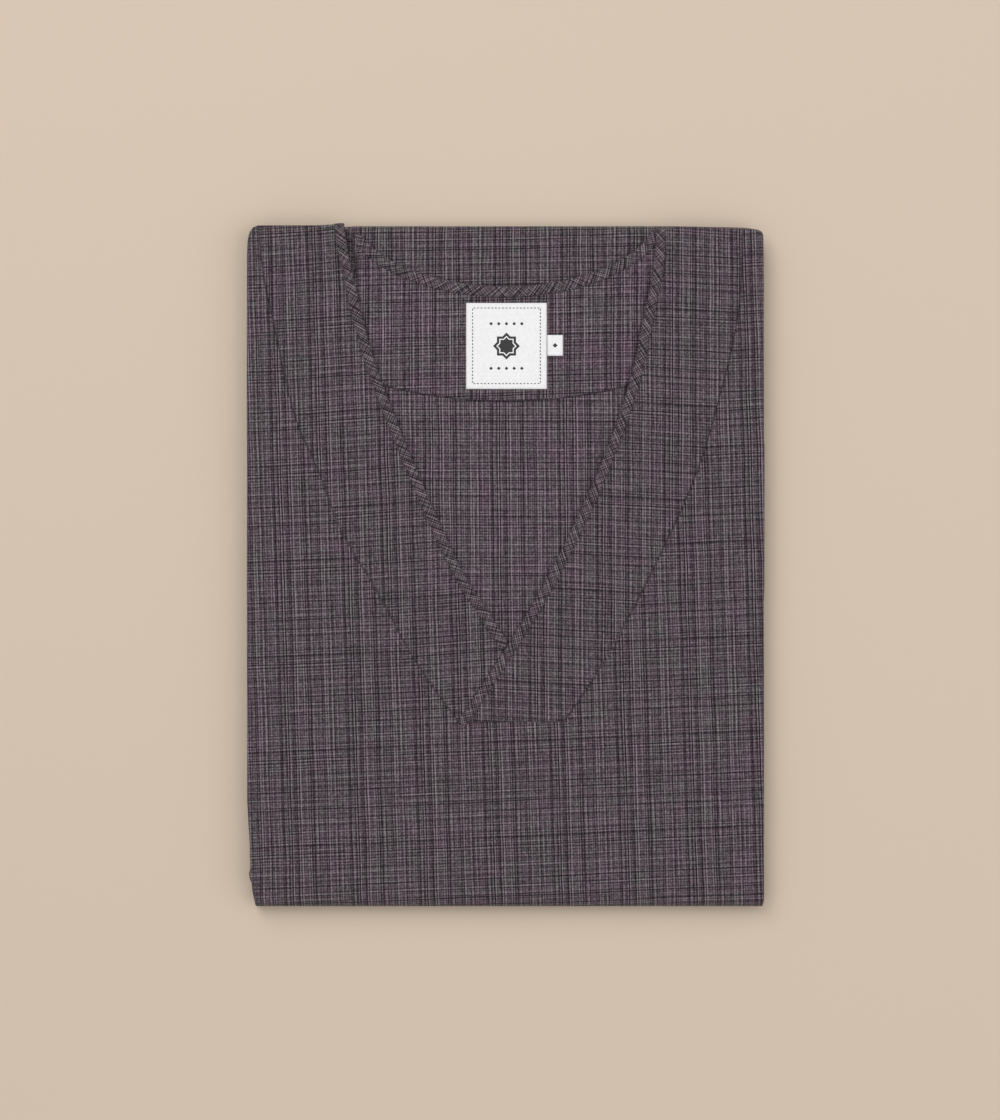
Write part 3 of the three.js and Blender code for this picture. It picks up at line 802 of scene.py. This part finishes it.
# Rows of each folded layer: length down the front, outer depth, inner depth, left x, right x
OUTER_LAYER = [
    (-645, -1.1, -2.0, -164.0, 163.6), (-662, -1.2, -2.3, -160.4, 160.8), (-682, -1.2, -3.0, -161.4, 162.0),
    (-700, -1.3, -3.1, -166.0, 166.4), (-760, -1.3, -3.1, -166.8, 166.6), (-900, -1.2, -3.1, -166.5, 167.0),
    (-1060, -1.4, -3.1, -166.9, 166.4), (-1086, -1.4, -3.1, -163.0, 163.5),
]
MIDDLE_LAYER = [
    (-229, -2.3, -4.0, -161.5, 165.4), (-245, -2.2, -4.0, -165.8, 166.6), (-330, -2.2, -3.9, -166.3, 166.2),
    (-480, -2.3, -4.0, -166.8, 166.9), (-640, -2.2, -4.0, -165.9, 166.1), (-662, -2.4, -3.9, -159.6, 160.0),
    (-682, -3.1, -4.7, -160.5, 161.0), (-700, -3.2, -5.0, -166.6, 166.4), (-820, -3.2, -5.1, -167.4, 167.5),
    (-960, -3.2, -5.0, -167.0, 167.6), (-1060, -3.3, -5.1, -167.4, 166.9), (-1086, -3.3, -5.1, -163.8, 164.0),
]
INNER_LAYER = [
    (-229, -4.1, -5.7, -160.8, 165.8), (-245, -4.1, -5.7, -166.4, 167.2), (-360, -4.0, -5.7, -167.4, 166.9),
    (-520, -4.1, -5.7, -166.8, 167.3), (-640, -4.1, -5.7, -166.6, 166.8), (-662, -4.0, -5.4, -159.0, 159.6),
    (-682, -4.8, -6.0, -159.8, 160.4), (-700, -5.2, -6.9, -165.2, 165.6), (-860, -5.2, -7.0, -166.2, 165.9),
    (-1010, -5.2, -7.0, -165.6, 166.3), (-1060, -5.2, -7.0, -166.3, 165.8),
    (-1086, -5.2, -7.0, -162.6, 163.1),
]
LAYER_WANDER = [(0.28, 93, 0.15), (0.16, 41, 0.6), (0.08, 17, 0.3)]
LOWEST_LAYER = 0.3


def folded_tube(name, rows, offset):
    """One folded layer: a flattened tube that runs down the garment and round the folds."""
    table = np.array(rows, float)[::-1]
    v = steps_between(rows[0][0], rows[-1][0], 3.2)
    outer, inner, left, right = (np.interp(v, table[:, 0], table[:, i])[:, None] for i in (1, 2, 3, 4))
    left = left + waves(v + offset, LAYER_WANDER)[:, None]
    right = right + waves(v * 1.07 - offset, LAYER_WANDER)[:, None]
    half = (outer - inner) / 2
    middle = (outer + inner) / 2
    arc = np.linspace(-math.pi / 2, math.pi / 2, 9)
    across = np.linspace(0, 1, 8)[1:-1]
    bulge = half * (1 - np.cos(arc))
    rise = half * np.sin(arc)
    x = np.hstack([right - bulge, mix(right - half, left + half, across),
                   left + bulge[:, ::-1], mix(left + half, right - half, across)])
    depth = np.hstack([middle + rise, outer + 0 * across, middle + rise[:, ::-1], inner + 0 * across])
    rows_v = in_rows(v, x)
    points = inner_points(x, rows_v, depth, LOWEST_LAYER)
    girth = x + np.sign(x) * (depth - middle) * 1.5
    return make_mesh(name, points, grain("folded_layers", girth, rows_v), around=True)


def folded_layers(material):
    tubes = [
        folded_tube("folded_layers_cloth", OUTER_LAYER, 0),
        folded_tube("folded_layer_middle", MIDDLE_LAYER, 31),
        folded_tube("folded_layer_inner", INNER_LAYER, 57),
    ]
    with bpy.context.temp_override(
        active_object=tubes[0], object=tubes[0], selected_objects=tubes, selected_editable_objects=tubes,
    ):
        bpy.ops.object.join()
    return dress(tubes[0], "folded_layers", material)


# Label and size tab

PATCH_THICKNESS = 0.6
PATCH_STEP = 1.3
STITCH_INSET = 4.2
STITCH_PERIOD = 2.28
STITCH_LENGTH = 1.35
STITCH_RADIUS = 0.27
STITCH_SIDES = 6
# Rows along a stitch: place and thickness as shares of its length and radius, and height
STITCH_BOW = [(-0.5, 0.6, -0.22), (-0.3, 1.0, 0.06), (0.0, 1.0, 0.12), (0.3, 1.0, 0.06), (0.5, 0.6, -0.22)]


def patch_top(top, x, y):
    """Height of a patch that follows the facing below it a little."""
    return top - 0.25 + 0.3 * back_relief(x, y)


def woven_patch(name, node, low, high, curl, material, thread=None):
    """A woven patch on the facing: its free edges lift by curl, and it dips along a line of thread."""
    x, y = np.meshgrid(steps_between(low[0], high[0], PATCH_STEP), steps_between(high[1], low[1], PATCH_STEP))
    from_edge = np.minimum.reduce([x - low[0], high[0] - x, y - low[1], high[1] - y])
    lift = curl * np.exp(-from_edge / 2.0) * (0.6 + 0.4 * np.sin(x * 0.23) * np.cos(y * 0.19))
    z = patch_top(LABEL_TOP, x, y) + lift - 0.3 * np.exp(-from_edge / 0.25)
    if thread is not None:
        z = z - 0.18 * bell(from_edge - thread, 0.8)
    piece = make_mesh(name, np.stack([x, y, z], axis=-1), np.stack([x - low[0], y - low[1]], axis=-1))
    return dress(thicken(piece, PATCH_THICKNESS), node, material)


def add_stitch(centre, direction, vertices, faces):
    """A small bar of thread, bowed over the cloth: rings of points, and a face at each end."""
    base = len(vertices)
    ahead = np.array([*direction, 0]) / np.hypot(*direction)
    side = np.array([-ahead[1], ahead[0], 0])
    up = np.array([0, 0, 1])
    for place, thickness, rise in STITCH_BOW:
        radius = thickness * STITCH_RADIUS
        for angle in np.linspace(0, 2 * math.pi, STITCH_SIDES, endpoint=False):
            ring = side * radius * math.cos(angle) + up * (rise + radius * math.sin(angle))
            vertices.append(tuple((centre + ahead * place * STITCH_LENGTH + ring) * MM))
    sides = range(STITCH_SIDES)
    last = base + (len(STITCH_BOW) - 1) * STITCH_SIDES
    for start in range(base, last, STITCH_SIDES):
        for k in sides:
            j = (k + 1) % STITCH_SIDES
            faces.append((start + k, start + j, start + STITCH_SIDES + j, start + STITCH_SIDES + k))
    faces.append(tuple(base + k for k in sides[::-1]))
    faces.append(tuple(last + k for k in sides))


def label_stitching(material):
    left, right = LABEL_LOW[0] + STITCH_INSET, LABEL_HIGH[0] - STITCH_INSET
    low, high = LABEL_LOW[1] + STITCH_INSET - 0.6, LABEL_HIGH[1] - STITCH_INSET + 0.9
    corners = np.array([(left, low), (right, low), (right, high), (left, high), (left, low)])
    vertices, faces = [], []
    for start, end in zip(corners[:-1], corners[1:]):
        count = round(np.hypot(*(end - start)) / STITCH_PERIOD)
        for i in range(count):
            x, y = mix(start, end, (i + 0.5) / count)
            centre = np.array([x, y, patch_top(LABEL_TOP, x, y) - 0.06])
            add_stitch(centre, end - start, vertices, faces)
    mesh = bpy.data.meshes.new("label_stitching")
    mesh.from_pydata(vertices, [], faces)
    mesh.polygons.foreach_set("use_smooth", [True] * len(faces))
    piece = link("label_stitching", mesh)
    mesh.materials.append(material)
    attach(piece, "root")
    return piece


# Materials

class Value:
    """An output of a shader node that can be added, subtracted, multiplied and divided."""

    def __init__(self, nodes, socket):
        self.nodes = nodes
        self.socket = socket

    def __add__(self, other):
        return self.nodes.math("ADD", self, other)

    def __sub__(self, other):
        return self.nodes.math("SUBTRACT", self, other)

    def __rsub__(self, other):
        return self.nodes.math("SUBTRACT", other, self)

    def __mul__(self, other):
        return self.nodes.math("MULTIPLY", self, other)

    def __truediv__(self, other):
        return self.nodes.math("DIVIDE", self, other)


class Nodes:
    """Builds a material's nodes; its methods return values."""

    def __init__(self, name):
        self.material = bpy.data.materials.new(name)
        self.material.use_nodes = True
        self.tree = self.material.node_tree
        self.shader = self.tree.nodes["Principled BSDF"]

    def add(self, kind, **settings):
        node = self.tree.nodes.new(kind)
        for key, value in settings.items():
            setattr(node, key, value)
        return node

    def feed(self, socket, value):
        if isinstance(value, Value):
            self.tree.links.new(value.socket, socket)
        else:
            socket.default_value = value

    def finished(self, inputs):
        """The material, once the shader's inputs are fed by name."""
        for name, value in inputs.items():
            self.feed(self.shader.inputs[name], value)
        return self.material

    def math(self, operation, *values):
        node = self.add("ShaderNodeMath", operation=operation)
        for socket, value in zip(node.inputs, values):
            self.feed(socket, value)
        return Value(self, node.outputs[0])

    def cloth_uv(self):
        uv = self.add("ShaderNodeUVMap", uv_map="cloth")
        split = self.add("ShaderNodeSeparateXYZ")
        self.tree.links.new(uv.outputs[0], split.inputs[0])
        return Value(self, split.outputs[0]), Value(self, split.outputs[1])

    def vector(self, *values):
        node = self.add("ShaderNodeCombineXYZ")
        for socket, value in zip(node.inputs, values):
            self.feed(socket, value)
        return Value(self, node.outputs[0])

    def noise(self, x, y, scale_x, scale_y, seed, detail=1.0):
        """Noise from 0 to 1, with scale_x and scale_y cells for each unit of x and y."""
        node = self.add("ShaderNodeTexNoise", noise_dimensions="3D")
        node.inputs["Scale"].default_value = 1.0
        node.inputs["Detail"].default_value = detail
        self.feed(node.inputs["Vector"], self.vector(x * scale_x, y * scale_y, seed))
        return Value(self, node.outputs[0])

    def random(self, x, y):
        """A fixed random value from 0 to 1 for each pair of whole numbers."""
        node = self.add("ShaderNodeTexWhiteNoise", noise_dimensions="2D")
        self.feed(node.inputs["Vector"], self.vector(x, y))
        return Value(self, node.outputs[0])

    def pairs(self, share, threads):
        """Number of each pair of neighbouring threads, and 1 or -1 for its two sides."""
        place = share * (threads / 2)
        first = self.math("LESS_THAN", self.math("FRACT", place), 0.5)
        return self.math("FLOOR", place), first * 2.0 - 1.0

    def shades(self, value, stops, interpolation="LINEAR"):
        """Colours along a value from 0 to 1: rows of (position, colour)."""
        node = self.add("ShaderNodeValToRGB")
        ramp = node.color_ramp
        ramp.interpolation = interpolation
        ramp.elements[0].position = stops[0][0]
        ramp.elements[1].position = stops[-1][0]
        for position, _ in stops[1:-1]:
            ramp.elements.new(position)
        for element, (_, colour) in zip(ramp.elements, stops):
            element.color = (*colour, 1)
        self.feed(node.inputs[0], value)
        return Value(self, node.outputs[0])

    def chart(self, share, bands, repeat):
        """Steps from 0 to 1 at charted bands: rows of (from, to, strength)."""
        stops = [(0, (0, 0, 0))]
        for start, end, strength in bands:
            stops.append((start * CHART_UNIT / repeat, (strength / STRONGEST,) * 3))
            stops.append((min(end * CHART_UNIT / repeat, 0.9999), (0, 0, 0)))
        return self.shades(share, stops, "CONSTANT")

    def blend(self, kind, share, a, b):
        node = self.add("ShaderNodeMix", data_type="RGBA", blend_type=kind)
        self.feed(node.inputs[0], share)
        self.feed(node.inputs[6], a)
        self.feed(node.inputs[7], b)
        return Value(self, node.outputs[2])

    def bump(self, height, strength, distance):
        node = self.add("ShaderNodeBump")
        node.inputs["Strength"].default_value = strength
        node.inputs["Distance"].default_value = distance
        self.feed(node.inputs["Height"], height)
        return Value(self, node.outputs[0])


# Charted repeat of the cloth: its warp and weft repeat in millimetres, and the bands across each.
# Rows: from, to, strength; places are in units of one photo pixel from the repeat's start.
WARP_REPEAT = 43.7
WEFT_REPEAT = 61.9
CHART_UNIT = 0.65
WARP_DARK = [
    (2.3, 3.6, 4), (11.3, 13.2, 15), (17.3, 18.3, 4), (19.2, 20.6, 14), (25.2, 26.6, 13), (32, 32.8, 3),
    (39.3, 40.5, 7), (42.2, 43.5, 14), (47.3, 48.3, 2), (53.3, 54.5, 7), (55.6, 56.5, 5), (61.2, 62.4, 4),
    (64, 64.8, 3.5), (66, 67.1, 11),
]
WARP_LIGHT = [
    (0.3, 1.5, 13), (7.5, 9, 5), (14.1, 15.4, 11), (22.3, 23.5, 5), (30.1, 31.3, 10), (33.4, 34.4, 5),
    (35.4, 36.4, 5), (44.4, 45.8, 7), (49.5, 50.8, 7), (57.2, 58.6, 13), (60.1, 60.9, 10),
]
WEFT_DARK = [
    (0, 1.3, 11), (4, 5, 7), (6, 7.2, 6), (13, 14.2, 8), (16, 17.2, 5), (29, 30.2, 11), (33, 34.4, 10),
    (39, 40.3, 8), (43, 44, 4), (48.5, 49.6, 5), (51, 52.6, 15), (60, 61.3, 5), (67, 68.4, 10), (81, 82.3, 6),
    (87.4, 89.2, 15),
]
WEFT_LIGHT = [
    (10.5, 12, 8), (18, 19.2, 5), (21, 22, 8), (31.2, 32.4, 9), (35, 36, 7), (41, 42.3, 8), (45, 46, 8),
    (56.5, 58, 5), (62, 63, 8), (65, 66, 10), (69, 70.4, 5), (77, 78, 6), (83, 84, 7.5), (93.6, 94.8, 6),
]
STRONGEST = 15.0
WARP_THREADS = 56
WEFT_THREADS = 56
WANDER = (0.0011, 0.0012)
SLUB = (0.0008, 0.0009)
THREAD_WAVE = 0.00055
CLOTH_SHADES = [
    (0.0, (0.0085, 0.0058, 0.0078)), (0.3, (0.034, 0.0235, 0.0305)), (0.52, (0.073, 0.0525, 0.0645)),
    (0.75, (0.124, 0.098, 0.112)), (1.0, (0.215, 0.182, 0.198)),
]
HUE_PATCHES = [(0.34, (0.925, 1.045, 0.975)), (0.66, (1.07, 0.955, 1.045))]


def cloth_material(name, tint, brightness, warp=1.0, weft=1.0):
    """Fine uneven plaid: charted warp and weft lines, slubby threads and a woven relief."""
    n = Nodes(name)
    u, v = n.cloth_uv()
    across = u + (n.noise(u, v, 60, 25, 3.1) - 0.5) * WANDER[0]
    along = v + (n.noise(u, v, 22, 55, 7.7) - 0.5) * WANDER[1]
    warp_share = n.math("FRACT", across / (WARP_REPEAT * MM))
    weft_share = n.math("FRACT", along / (WEFT_REPEAT * MM))

    # Charted lines, broken up along each thread
    breaks = n.noise(across, along, 520, 460, 9.2)
    value = 0.5 - n.chart(warp_share, WARP_DARK, WARP_REPEAT) * (breaks * (0.40 * warp) + 0.10)
    value = value + n.chart(warp_share, WARP_LIGHT, WARP_REPEAT) * (breaks * (0.34 * warp))
    value = value - n.chart(weft_share, WEFT_DARK, WEFT_REPEAT) * (breaks * (0.34 * weft) + 0.12 * weft)
    value = value + n.chart(weft_share, WEFT_LIGHT, WEFT_REPEAT) * (breaks * (0.16 * weft))

    # Single and paired threads, each with its own shade that comes and goes slowly along its length.
    # Rows: signal from 0 to 1, gain
    warp_pair, warp_side = n.pairs(warp_share, WARP_THREADS)
    weft_pair, weft_side = n.pairs(weft_share, WEFT_THREADS)
    warp_thread = n.math("FLOOR", warp_share * WARP_THREADS)
    slub = n.random(n.math("FLOOR", across / SLUB[0]), n.math("FLOOR", along / SLUB[1]))
    for signal, gain in (
        (n.random(warp_thread, 3.0), 0.12),
        (n.noise(warp_share, along, WARP_THREADS * 1.31, 22, 1.3), 0.20),
        (n.random(warp_pair, 1.0), warp_side * 0.36),
        (n.noise(warp_pair, along, 3.77, 26, 8.3), warp_side * 0.76),
        (n.noise(across, weft_share, 24, WEFT_THREADS * 1.27, 5.9), 0.16),
        (n.random(weft_pair, 5.0), weft_side * (0.16 * weft)),
        (n.noise(across, weft_pair, 30, 4.19, 6.6), weft_side * (0.45 * weft)),
        (slub, 0.34),
        (n.noise(u, v, 110, 95, 15.8), 0.16),
    ):
        value = value + (signal - 0.5) * gain

    # Fine even lines that swell and fade: rows of place, lines in a repeat, swell, its gain and least height
    swell = n.noise(across, along, 60, 38, 2.6)
    swell_weft = n.noise(across, along, 40, 64, 4.4)
    for share, count, rise, gain, least in (
        (warp_share, 22, swell, 0.19, 0.03),
        (warp_share, 29, swell, -0.18, 0.26),
        (weft_share, 32, swell_weft, 0.17 * weft, 0.03 * weft),
        (weft_share, 41, swell_weft, -0.12 * weft, 0.16 * weft),
    ):
        value = value + n.math("COSINE", share * (2 * math.pi * count)) * (rise * gain + least)

    colour = n.shades(value, CLOTH_SHADES)
    colour = n.blend("MULTIPLY", 1.0, colour, n.shades(n.noise(u, v, 75, 60, 12.5, 2.0), HUE_PATCHES))
    colour = n.blend("MULTIPLY", 1.0, colour, (*[brightness * c for c in tint], 1))

    # Woven relief: threads pass over and under each other
    turn = 2 * math.pi / THREAD_WAVE
    over = n.math("SINE", across * turn) * n.math("SINE", along * turn)
    return n.finished({
        "Base Color": colour, "Normal": n.bump(over * 0.25 + value, 0.35, 0.00012),
        "Roughness": value * -0.12 + 0.92, "Sheen Weight": 0.12, "Sheen Roughness": 0.5,
        "Specular IOR Level": 0.25,
    })


# Ornament of the label and tab, in metres
STAR_HALF = 0.0062
STAR_LINE = (0.0040, 0.0047)
LOZENGE_HALF = 0.0012
LOZENGE_PITCH = 0.0050
LOZENGE_ROW_HALF = 0.0124
LOZENGE_ROWS = (-0.0145, 0.0145)
TAB_LOZENGE = 0.0016
BLACK_THREAD = (0.012, 0.012, 0.015, 1)


def lozenge(n, x, y, half):
    return n.math("LESS_THAN", n.math("ABSOLUTE", x) + n.math("ABSOLUTE", y), half)


def label_ornament(n, x, y):
    """1 on the black thread: a star made of two squares, and a row of lozenges above and below it."""
    right, up = n.math("ABSOLUTE", x), n.math("ABSOLUTE", y)
    reach = n.math("MINIMUM", n.math("MAXIMUM", right, up), (right + up) * math.sqrt(0.5))
    line = n.math("GREATER_THAN", reach, STAR_LINE[0]) * n.math("LESS_THAN", reach, STAR_LINE[1])
    found = n.math("LESS_THAN", reach, STAR_HALF) - line
    half_pitch = LOZENGE_PITCH / 2
    place = half_pitch - n.math("PINGPONG", right + half_pitch, half_pitch)
    in_row = n.math("LESS_THAN", right, LOZENGE_ROW_HALF)
    for row_y in LOZENGE_ROWS:
        found = found + lozenge(n, place, y - row_y, LOZENGE_HALF) * in_row
    return found


def tab_ornament(n, x, y):
    return lozenge(n, x, y, TAB_LOZENGE)


def label_material(name, low, high, ornament):
    """White woven satin with a fine rib, and an ornament in black thread about its middle."""
    n = Nodes(name)
    u, v = n.cloth_uv()
    middle = (high - low) * MM / 2
    rib = n.math("SINE", u * (2 * math.pi / 0.0006))
    row = n.math("SINE", v * (2 * math.pi / 0.0009))
    grainy = n.noise(u, v, 700, 350, 2.2)
    value = grainy * 0.5 + (rib * 0.06 + 0.25)
    white = n.shades(value, [(0.2, (0.72, 0.72, 0.735)), (0.8, (0.88, 0.88, 0.895))])
    colour = n.blend("MIX", ornament(n, u - middle[0], v - middle[1]), white, BLACK_THREAD)
    return n.finished({
        "Base Color": colour, "Normal": n.bump(rib + row, 0.3, 0.0001),
        "Roughness": grainy * 0.15 + 0.5, "Sheen Weight": 0.1,
    })


def thread_material():
    n = Nodes("label_thread")
    place = n.add("ShaderNodeTexCoord")
    noise = n.add("ShaderNodeTexNoise")
    noise.inputs["Scale"].default_value = 900.0
    n.tree.links.new(place.outputs["Object"], noise.inputs["Vector"])
    value = Value(n, noise.outputs[0])
    colour = n.shades(value, [(0.3, (0.035, 0.032, 0.05)), (0.7, (0.08, 0.072, 0.10))])
    return n.finished({"Base Color": colour, "Roughness": value * 0.2 + 0.55})


# Stage: floor, lights and camera, in metres

FLOOR_HALF = 3.0
FLOOR_Z = -0.0002
FLOOR_COLOUR = (0.597, 0.496, 0.396, 1)
WORLD_COLOUR = (1.0, 0.974, 0.935, 1)
WORLD_STRENGTH = 0.50
# Rows: name, place, target, size, power in watts, colour
LIGHTS = [
    ("key", (-1.2, 1.85, 2.4), (0, 0, 0), 2.2, 46, (0.96, 0.98, 1.0)),
    ("fill", (1.9, -0.3, 1.9), (0.2, 0, 0), 2.4, 17, (0.96, 0.98, 1.0)),
    ("overhead", (0, 0, 2.4), (0, 0, 0), 3.0, 17, (1.0, 0.985, 0.96)),
]


def floor():
    corners = [(-FLOOR_HALF, -FLOOR_HALF), (FLOOR_HALF, -FLOOR_HALF),
               (FLOOR_HALF, FLOOR_HALF), (-FLOOR_HALF, FLOOR_HALF)]
    mesh = bpy.data.meshes.new("floor")
    mesh.from_pydata([(x, y, FLOOR_Z) for x, y in corners], [], [(0, 1, 2, 3)])
    mesh.materials.append(Nodes("floor_paint").finished({"Base Color": FLOOR_COLOUR, "Roughness": 0.9}))
    link("floor", mesh)


def area_light(name, place, target, size, power, colour):
    light = bpy.data.lights.new(name, "AREA")
    light.size = size
    light.energy = power
    light.color = colour
    lamp = link(name, light)
    lamp.location = place
    lamp.rotation_euler = (Vector(target) - Vector(place)).to_track_quat("-Z", "Y").to_euler()


def lights():
    world = bpy.data.worlds.new("studio")
    world.use_nodes = True
    background = world.node_tree.nodes["Background"]
    background.inputs[0].default_value = WORLD_COLOUR
    background.inputs[1].default_value = WORLD_STRENGTH
    bpy.context.scene.world = world
    for row in LIGHTS:
        area_light(*row)


def camera():
    data = bpy.data.cameras.new("camera")
    data.lens = LENS
    data.sensor_width = SENSOR
    distance = VIEW_LENGTH * LENS / SENSOR
    viewpoint = link("camera", data)
    viewpoint.location = (VIEW_X * MM, VIEW_Y * MM, (FRONT_TOP_LOW + distance) * MM)
    bpy.context.scene.camera = viewpoint


bpy.context.scene.view_settings.view_transform = "Standard"
camera()
lights()
floor()

# Tint, brightness, and the strength of the warp's and the weft's lines
plaid = cloth_material("plaid_cloth", (1.0, 1.0, 1.0), 1.0)
plaid_inside = cloth_material("plaid_cloth_inside", (1.02, 0.99, 1.02), 1.06)
plaid_bias = cloth_material("plaid_bias", (1.0, 0.985, 0.99), 1.03, 1.90, 1.15)
satin = label_material("label_satin", LABEL_LOW, LABEL_HIGH, label_ornament)
tab_satin = label_material("tab_satin", TAB_LOW, TAB_HIGH, tab_ornament)
label_thread = thread_material()
front = front_body(plaid)
left_plastron, right_plastron = plastrons(plaid)
left_binding = front_binding("neck_binding_left_cloth", "neck_binding_left", NECK_LEFT, -1,
                             V_POINT_Y, plaid_bias)
right_binding = front_binding("neck_binding_right_cloth", "neck_binding_right", NECK_RIGHT, 1,
                              PLASTRON_FOOT_Y, plaid_bias)
skirt = skirt_fold(plaid)
back = back_body(plaid_inside)
facing = back_facing(plaid_inside)
back_strip = back_binding(plaid_bias)
layers = folded_layers(plaid)
label = woven_patch("neck_label_satin", "neck_label", LABEL_LOW, LABEL_HIGH, 0.35, satin, STITCH_INSET)
tab = woven_patch("size_tab_satin", "size_tab", TAB_LOW, TAB_HIGH, 0.5, tab_satin)
stitching = label_stitching(label_thread)
